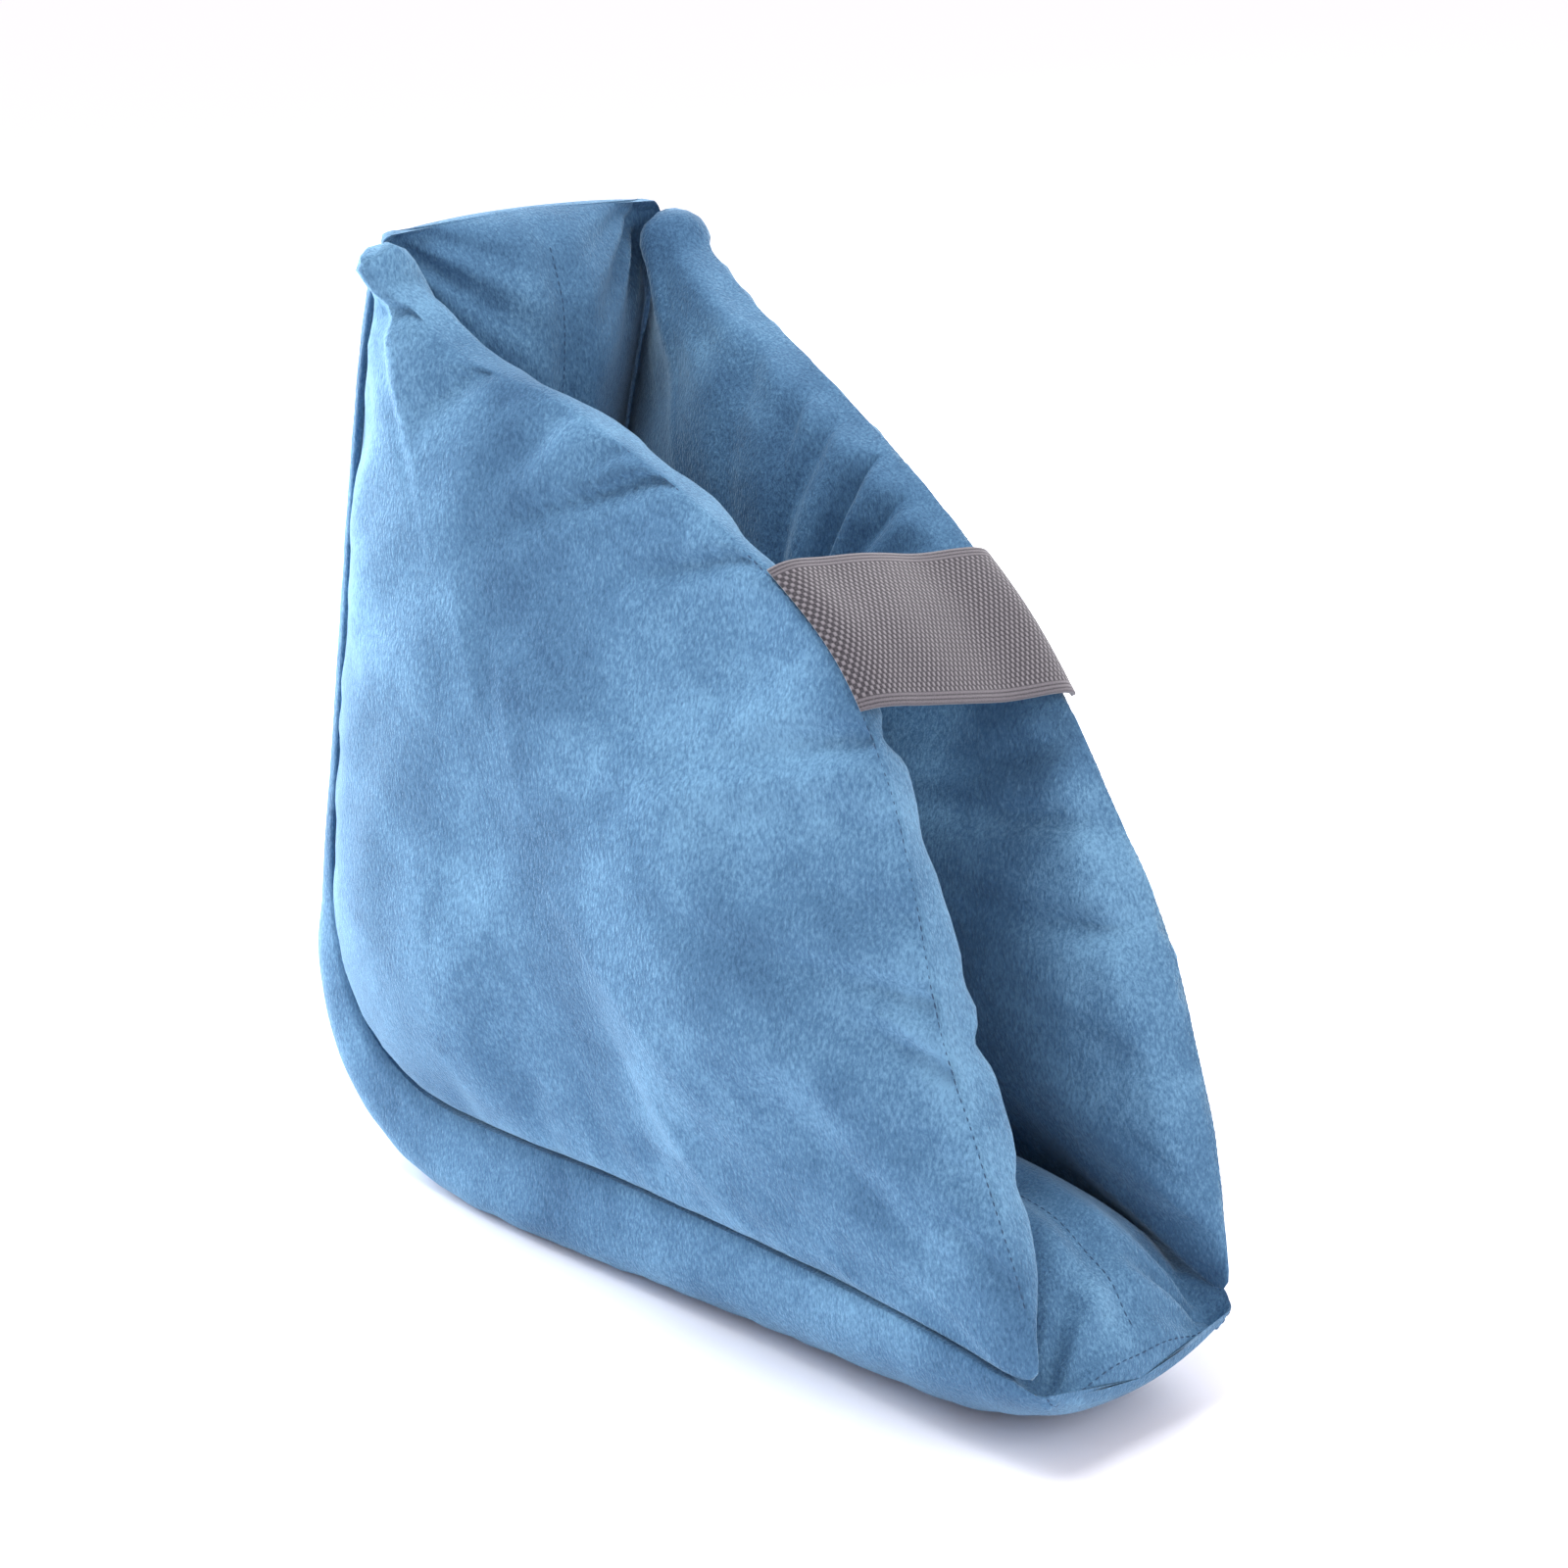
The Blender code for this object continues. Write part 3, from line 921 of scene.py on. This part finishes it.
        piece = remade_sphere(f"{self.name}_plush", self.around, 2 * self.rings, place)
        piece.data.materials.append(self.plush)
        seam_points = [Vector(place(k / self.around, 0.0)) * MM for k in range(self.around)]
        middle = Vector((sign * self.centre[0], *self.centre[1:])) * MM
        self.front_points = [
            spot + (middle - spot).normalized() * self.thread_depth * MM
            for spot, row in zip(seam_points, edge)
            if row[3] > 0.9 and row[7] < self.last_stitch
        ]
        knob_at = Vector((sign * self.knob[0], *self.knob[1:])) * MM
        shown = [vertex.co for vertex in piece.data.vertices]
        held = [spot.copy() for spot in shown if (spot - knob_at).length < self.knob_hold * MM]
        middles = [Vector(place(0.0, rise)) * MM for rise in (-1.0, 1.0)]
        self.stuffing.fill(piece, seam_points + held, middles)
        calm = piece.vertex_groups.new(name="middle")
        for vertex in piece.data.vertices:
            away = math.hypot(vertex.co.y - middle.y, vertex.co.z - middle.z) / MM
            calm.add([vertex.index], max(0.0, 1 - away / self.middle_reach), "REPLACE")
        relaxed(piece, calm.name, self.middle_passes)
        piece.vertex_groups.remove(calm)
        LOG.info("%s: %d points round its seam", piece.name, self.around)
        return piece


@dataclass
class SoleAndBackCushion(PlushCushion):
    """The long cushion under the foot, round the heel and behind the ankle."""

    name: str
    plush: bpy.types.Material
    margin: float = 4.0
    corner_press: float = 12.0
    corner_press_length: float = 34.0
    channel_depth: float = 7.0
    channel_reach: float = 6.5
    inner_rounding: float = 50.0
    toe_rounding: float = 42.0
    top_rounding: float = 27.0
    toe_sag: float = 9.0
    top_sag: float = 2.0
    top_rise: float = 1.5
    top_rise_length: float = 40.0
    corner_rounding: float = 12.0
    corner_tuck: float = 7.5
    fold_length: float = 40.0
    end_rings: float = 0.12
    around: int = 120
    along: int = 176
    fill: float = 0.7

    @staticmethod
    def rounding(distance: float, reach: float) -> float:
        """Says how full the cushion is near an end seam, from 0 to 1."""
        missing = 1 - min(1.0, max(0.0, distance / reach))
        return math.sqrt(1 - missing**2)

    def place(self, turn: float, rise: float) -> Point:
        """Places one point of the skin.

        Args:
            turn: Round the section, 0 to 0.5 on the foot side.
            rise: Along the cushion, -1 at the toe and 1 at the top.

        Returns:
            x, y and z in mm.
        """
        at = SOLE_LENGTH * (1 + rise - self.end_rings * math.sin(math.tau * rise)) / 2
        (y, z, half_width, inner, outer, swell, boxiness), facing = SeamLines.sole(at)
        to_toe, to_top = at, SOLE_LENGTH - at
        full_inner = self.rounding(to_toe, self.inner_rounding)
        full_inner *= self.rounding(to_top, self.inner_rounding)
        full_outer = self.rounding(to_toe, self.toe_rounding)
        full_outer *= self.rounding(to_top, self.top_rounding)
        sag = self.toe_sag if to_toe < to_top else self.top_sag
        nearest = min(to_toe, to_top)
        half_width -= self.corner_tuck * (1 - self.rounding(nearest, self.corner_rounding))
        angle = math.tau * turn
        level, tilt = math.cos(angle), abs(math.sin(angle))
        if abs(rise) == 1:
            across, height = 0.0, 0.0
        elif turn <= 0.5:
            across = -half_width * level
            pressed = max(0.0, 1 - nearest / self.corner_press_length)
            margin = self.margin + self.corner_press * pressed
            from_middle = min(1.0, abs(across) / (half_width - margin))
            height = inner * full_inner * (1 - from_middle**1.5)
            line = math.exp(-((across / self.channel_reach) ** 2))
            height -= self.channel_depth * full_inner * line
            height -= self.folds(nearest, across, half_width) * min(1.0, 1.5 * full_inner)
        else:
            squared = abs(level) ** (2 / boxiness)
            across = -(half_width + swell * tilt * full_outer) * math.copysign(squared, level)
            height = -outer * full_outer * tilt ** (2 / boxiness)
            height += noise.noise((at / 11, across / 26, 2.0)) * 1.6 * tilt * full_outer
        to_middle = 1 - min(1.0, abs(across) / half_width) ** 2
        height -= sag * (1 - full_outer) * to_middle
        z += self.top_rise * to_middle * max(0.0, 1 - to_top / self.top_rise_length) ** 2
        return across, y + height * facing[0], max(0.0, z + height * facing[1])

    def folds(self, from_end: float, across: float, half_width: float) -> float:
        """Adds up the folds that fan out from an end's two corners.

        Args:
            from_end: The distance from the nearer end seam, in mm.
            across: The distance from the middle, in mm.
            half_width: Half the cushion's width there, in mm.

        Returns:
            How deep the surface lies, in mm.
        """
        beside = max(0.0, half_width - abs(across))
        far = math.hypot(from_end, beside)
        turned = math.degrees(math.atan2(from_end, beside))
        shown = min(1.0, far / 5) * math.exp(-((far / self.fold_length) ** 2))
        depth = 0.0
        for angle, deepest, spread in CORNER_FOLDS:
            offset = math.radians(turned - angle) * min(far, 26.0)
            depth += deepest * fold(offset, spread) * shown
        return depth

    def build(self) -> bpy.types.Object:
        """Builds and dresses the cushion.

        Returns:
            The finished piece.
        """
        piece = remade_sphere(f"{self.name}_plush", self.around, self.along, self.place)
        piece.data.materials.append(self.plush)
        rises = [2 * k / self.along - 1 for k in range(8, self.along - 7)]
        self.channel_points = [Vector(self.place(0.25, rise)) * MM for rise in rises]
        ring = 4 / self.along - 1
        self.end_points = [Vector(self.place(k / 60, ring)) * MM for k in range(2, 29)]
        LOG.info("%s: %d rings along it", piece.name, self.along)
        return piece


@dataclass
class ElasticStrap:
    """The flat elastic across the front, sewn into both front seams."""

    name: str
    knit: bpy.types.Material
    width: float = 50.0
    thickness: float = 1.5
    left_angle: float = 43.4
    right_angle: float = 41.8
    end_x: float = 45.6
    lift: float = 4.8
    sag: float = 1.4
    edge_wave: float = 2.2
    across: int = 140
    along: int = 60

    def build(self) -> bpy.types.Object:
        """Builds and dresses the strap.

        Returns:
            The finished piece.
        """
        mesh = bpy.data.meshes.new(f"{self.name}_knit")
        shape = bmesh.new()
        bmesh.ops.create_grid(
            shape, x_segments=self.across, y_segments=self.along, size=1.0, calc_uvs=False
        )
        weave = shape.loops.layers.uv.new("weave")
        for face in shape.faces:
            for loop in face.loops:
                spot = loop.vert.co
                loop[weave].uv = (spot.x * 0.049, spot.y * self.width / 2 * MM)
        for vertex in shape.verts:
            vertex.co = self.place(vertex.co.x, vertex.co.y)
        bmesh.ops.recalc_face_normals(shape, faces=shape.faces)
        shape.to_mesh(mesh)
        shape.free()
        mesh.shade_smooth()
        piece = add_object(mesh.name, mesh)
        wall = piece.modifiers.new("thickness", "SOLIDIFY")
        wall.thickness = self.thickness * MM
        wall.offset = 0.0
        mesh.materials.append(self.knit)
        LOG.info("%s: %d by %d faces", piece.name, self.across, self.along)
        return piece

    def place(self, across: float, along: float) -> Vector:
        """Places one point of the strap's middle layer.

        Args:
            across: From the left seam at -1 to the right one at 1.
            along: Across the strap's width, from its lower edge at -1 to 1.

        Returns:
            The point, in metres.
        """
        share = (1 + across) / 2
        middle = self.left_angle + (self.right_angle - self.left_angle) * share
        radius = SeamLines.front(middle, across)[-1]
        degrees = middle + math.degrees(along * self.width / 2 / radius)
        degrees += along * 0.25 * math.cos(across * math.pi / 2)
        wave = noise.noise((across * 1.6, along * 0.8, 9.0))
        radius = SeamLines.front(degrees, across)[-1]
        turn = math.radians(degrees)
        radius += 1.2 + self.lift * (1 - abs(across) ** 10) + self.edge_wave * wave * (1 - across**8)
        radius -= self.sag * math.cos(across * math.pi / 2) ** 2
        y = SeamLines.corner_y - radius * math.cos(turn)
        z = SeamLines.corner_z + radius * math.sin(turn)
        return Vector((self.end_x * across, y, z)) * MM

    def declare(self, piece: bpy.types.Object) -> None:
        """Tells the frame what the piece stands for."""
        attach(piece, "root")
        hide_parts(self.name)
        edges = [self.place(k / 100 - 1, 0.0) for k in range(201)]


@dataclass
class RunningStitches:
    """Lockstitches along a seam, one short thread after another."""

    name: str
    thread: bpy.types.Material
    pitch: float = 2.7
    stitch_length: float = 1.9
    thickness: float = 0.55

    def tree(self) -> bpy.types.NodeTree:
        """Builds the node tree that lays stitches along a line.

        Returns:
            The tree, with its pitch, length and thickness as inputs.
        """
        tree = bpy.data.node_groups.new("running_stitches", "GeometryNodeTree")
        add = partial(add_node, tree)
        face = tree.interface
        face.new_socket("Geometry", in_out="INPUT", socket_type="NodeSocketGeometry")
        for name in ("Pitch", "Stitch Length", "Thickness"):
            face.new_socket(name, in_out="INPUT", socket_type="NodeSocketFloat")
        face.new_socket("Geometry", in_out="OUTPUT", socket_type="NodeSocketGeometry")
        start = add("NodeGroupInput")
        path = add("GeometryNodeMeshToCurve", {"Mesh": start.outputs["Geometry"]})
        dots = add("GeometryNodeResampleCurve", {
            "Curve": path.outputs[0], "Length": start.outputs["Pitch"],
        }, mode="LENGTH")
        tangent = add("GeometryNodeInputTangent")
        turned = add("FunctionNodeAlignRotationToVector", {"Vector": tangent.outputs[0]}, axis="Z")
        ball = add("GeometryNodeMeshUVSphere", {"Segments": 6, "Rings": 5, "Radius": 0.5})
        size = add("ShaderNodeCombineXYZ", {
            "X": start.outputs["Thickness"], "Y": start.outputs["Thickness"],
            "Z": start.outputs["Stitch Length"],
        })
        placed = add("GeometryNodeInstanceOnPoints", {
            "Points": dots.outputs[0], "Instance": ball.outputs[0], "Rotation": turned.outputs[0],
            "Scale": size.outputs[0],
        })
        real = add("GeometryNodeRealizeInstances", {"Geometry": placed.outputs[0]})
        dressed = add(
            "GeometryNodeSetMaterial", {"Geometry": real.outputs[0], "Material": self.thread}
        )
        add("NodeGroupOutput", {0: dressed.outputs[0]})
        return tree

    def build(self, lines: Sequence[Sequence[Vector]]) -> bpy.types.Object:
        """Sews along the lines.

        Args:
            lines: Each seam's points, in metres.

        Returns:
            All the stitches as one plain mesh.
        """
        mesh = bpy.data.meshes.new(self.name)
        points = [point for line in lines for point in line]
        edges = []
        first = 0
        for line in lines:
            edges += [(first + k, first + k + 1) for k in range(len(line) - 1)]
            first += len(line)
        mesh.from_pydata(points, edges, [])
        guide = add_object(f"{self.name}_guide", mesh)
        tree = self.tree()
        sewing = guide.modifiers.new("sewing", "NODES")
        sewing.node_group = tree
        values = {
            "Pitch": self.pitch * MM,
            "Stitch Length": self.stitch_length * MM,
            "Thickness": self.thickness * MM,
        }
        for item in tree.interface.items_tree:
            if item.in_out == "INPUT" and item.name in values:
                sewing[item.identifier] = values[item.name]
        seen = guide.evaluated_get(bpy.context.evaluated_depsgraph_get())
        sewn = bpy.data.meshes.new_from_object(seen)
        sewn.shade_smooth()
        guide.modifiers.remove(sewing)
        bpy.data.objects.remove(guide)
        piece = add_object(self.name, sewn)
        LOG.info("%s: %d points of thread", piece.name, len(sewn.vertices))
        return piece

    def declare(self, piece: bpy.types.Object) -> None:
        """Attaches the stitches to the root body."""
        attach(piece, "root")


@dataclass
class Studio:
    """White paper, soft lamps and the camera."""

    paper_side: float = 24.0
    camera_place: Point = (-0.6249, -0.7078, 0.4786)
    camera_target: Point = (0.008, 0.0, 0.1554)
    lens: float = 74.25
    sensor: float = 36.0
    sky_from: Point = (0.4, 0.8, 1.3)
    sky_degrees: float = 60.0
    sky_strength: float = 1.4

    def floor(self) -> None:
        """Lays the paper, which isn't part of the object."""
        mesh = bpy.data.meshes.new("studio_paper")
        shape = bmesh.new()
        bmesh.ops.create_grid(shape, x_segments=2, y_segments=2, size=self.paper_side / 2)
        shape.to_mesh(mesh)
        shape.free()
        mesh.materials.append(StudioPaper().material("matt_background_paper"))
        floor = add_object("studio_paper", mesh)

    def lamp(self, name: str, place: Point, size: float, watts: float, colour: str) -> None:
        """Hangs one soft square lamp that points at the cushion.

        Args:
            name: The lamp's name.
            place: Where it hangs, in metres.
            size: The side of its square, in metres.
            watts: Its power.
            colour: Its sRGB hex colour.
        """
        light = bpy.data.lights.new(name, "AREA")
        light.shape = "SQUARE"
        light.size = size
        light.energy = watts
        light.color = linear(colour)[:3]
        lamp = add_object(name, light)
        lamp.location = place
        aim = Vector((0.0, 0.0, 0.14)) - Vector(place)
        lamp.rotation_euler = aim.to_track_quat("-Z", "Y").to_euler()

    def sky(self) -> None:
        """Adds the broad light that comes from over the back of the set."""
        light = bpy.data.lights.new("skylight", "SUN")
        light.energy = self.sky_strength
        light.angle = math.radians(self.sky_degrees)
        lamp = add_object("skylight", light)
        lamp.rotation_euler = Vector(self.sky_from).to_track_quat("Z", "Y").to_euler()

    def build(self) -> None:
        """Lights the set and places the camera."""
        scene = bpy.context.scene
        scene.view_settings.view_transform = "Standard"
        self.floor()
        self.lamp("left_window", (-0.28, 1.85, 0.45), 1.1, 92.0, "#f0faff")
        self.lamp("right_window", (1.3, 1.0, 0.8), 1.0, 16.0, "#ffffff")
        self.lamp("top_softbox", (-0.3, 0.1, 1.35), 0.5, 8.0, "#f6fbff")
        self.lamp("front_fill", (0.7, -1.8, 1.1), 1.4, 14.0, "#ffffff")
        self.sky()
        world = bpy.data.worlds.new("white_room")
        world.use_nodes = True
        tree = world.node_tree
        tree.nodes.clear()
        glow = add_node(tree, "ShaderNodeBackground", {"Color": linear("#fff7fb"), "Strength": 0.7})
        add_node(tree, "ShaderNodeOutputWorld", {"Surface": glow.outputs[0]})
        scene.world = world
        lens = bpy.data.cameras.new("camera")
        lens.lens = self.lens
        lens.sensor_width = self.sensor
        lens.clip_end = 60.0
        camera = add_object("camera", lens)
        camera.location = self.camera_place
        aim = Vector(self.camera_target) - Vector(self.camera_place)
        camera.rotation_euler = aim.to_track_quat("-Z", "Y").to_euler()
        scene.camera = camera


def main() -> None:
    """Builds the set and every piece, and reports each one."""
    logging.basicConfig(level=logging.INFO, format="%(name)s: %(message)s")
    Studio().build()
    plush = ShortPilePlush()
    thread = SpunThread().material("spun_polyester_thread")
    lines = []
    for name, side, creases, knob in (
        ("left_side_cushion", Side.LEFT, NEAR_INNER_CREASES, (58.0, 107.0, 306.0)),
        ("right_side_cushion", Side.RIGHT, FAR_INNER_CREASES, (56.0, 106.0, 303.0)),
    ):
        finish = plush.material(f"short_pile_plush_{name}", (0.1 * side.value, 0.0, 0.0))
        cushion = SideCushion(name, side, finish, creases, knob)
        piece = cushion.build()
        cushion.declare(piece)
        lines.append(cushion.front_points)
    sole = SoleAndBackCushion(
        "sole_and_back_cushion", plush.material("short_pile_plush_sole", (0.0, 0.3, 0.0))
    )
    sole.declare(sole.build())
    lines += [sole.channel_points, sole.end_points]
    strap = ElasticStrap("elastic_strap", KnittedElastic().material("warp_knitted_elastic"))
    strap.declare(strap.build())
    stitches = RunningStitches("seam_stitches", thread)
    stitches.declare(stitches.build(lines))
    LOG.info("finished")


if __name__ == "__main__":
    main()
